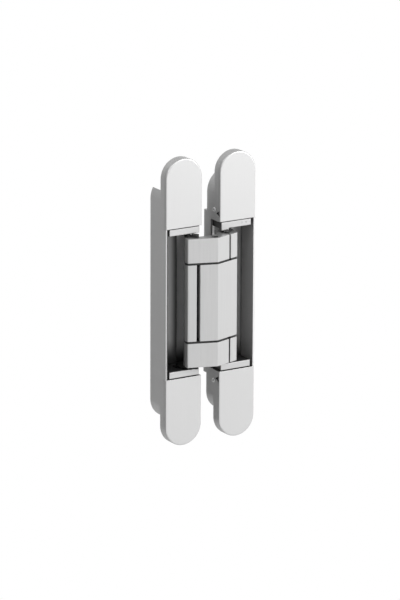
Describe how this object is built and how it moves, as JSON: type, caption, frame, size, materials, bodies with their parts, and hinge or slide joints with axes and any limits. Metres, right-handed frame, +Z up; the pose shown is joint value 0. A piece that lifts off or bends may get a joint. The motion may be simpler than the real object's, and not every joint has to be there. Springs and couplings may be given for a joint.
{
  "type": "concealed hinge",
  "caption": "Concealed door hinge, shown open flat: two mortised housings with round-ended cover caps, joined by crossed arms that fold away when it closes.",
  "frame": {"origin": "on the plane of the visible faces, midway between the frame and door housings, at half height", "axes": "+Z up along the hinge, +X from the frame side to the door side, +Y into the wood; stored open at 180 degrees"},
  "size_m": [0.07, 0.0308, 0.2],
  "materials": {
    "housing_cast": "die-cast zinc with a silver lacquer, satin",
    "cap_plate": "satin chrome plate",
    "block_cast": "die-cast zinc, satin",
    "arm_cast": "satin, fine upright brushing",
    "pin_steel": "ground steel",
    "guide_steel": "hardened dark steel",
    "screw_steel": "zinc plated",
    "bush_polymer": "plain bearing polymer",
    "black_polymer": "black slide polymer"
  },
  "bodies": {
    "frame_side": {"frame_housing": "housing_cast", "frame_upper_cap": "cap_plate", "frame_lower_cap": "cap_plate", "frame_upper_block": "block_cast", "frame_lower_block": "block_cast", "frame_clamp_screws": "screw_steel", "frame_side_screws": "screw_steel", "frame_pivot_pin": "pin_steel"},
    "centre": {"centre_arm": "arm_cast", "door_upper_knuckle": "arm_cast", "door_lower_knuckle": "arm_cast", "door_guide_pin": "guide_steel", "door_guide_washers": "black_polymer", "knuckle_washers": "black_polymer", "frame_pivot_bushes": "bush_polymer"},
    "fork": {"fork_arm": "arm_cast", "frame_middle_knuckle": "arm_cast", "frame_guide_pin": "guide_steel", "frame_guide_washers": "black_polymer", "crossing_pin": "guide_steel", "thrust_washers": "black_polymer", "door_pivot_bushes": "bush_polymer"},
    "door_side": {"door_housing": "housing_cast", "door_upper_cap": "cap_plate", "door_lower_cap": "cap_plate", "door_upper_block": "block_cast", "door_lower_block": "block_cast", "door_clamp_screws": "screw_steel", "door_side_screws": "screw_steel", "door_pivot_pin": "pin_steel"}
  },
  "joints": [
    {"name": "frame_pivot", "type": "hinge", "parent": "frame_side", "child": "centre", "pos_m": [-0.012, 0.009, 0], "axis": [0, 0, -1], "range_deg": [0, 93]},
    {"name": "crossing_pivot", "type": "hinge", "parent": "centre", "child": "fork", "pos_m": [0, -0.0055, 0], "axis": [0, 0, -1], "range_deg": [-6.2, 0]},
    {"name": "door_pivot", "type": "hinge", "parent": "fork", "child": "door_side", "pos_m": [0.012, 0.009, 0], "axis": [0, 0, -1], "range_deg": [0, 93.05]}
  ],
  "couplings": [
    {"joint": "crossing_pivot", "follows": "frame_pivot", "ratio": -0.06647},
    {"joint": "door_pivot", "follows": "frame_pivot", "ratio": 1}
  ]
}
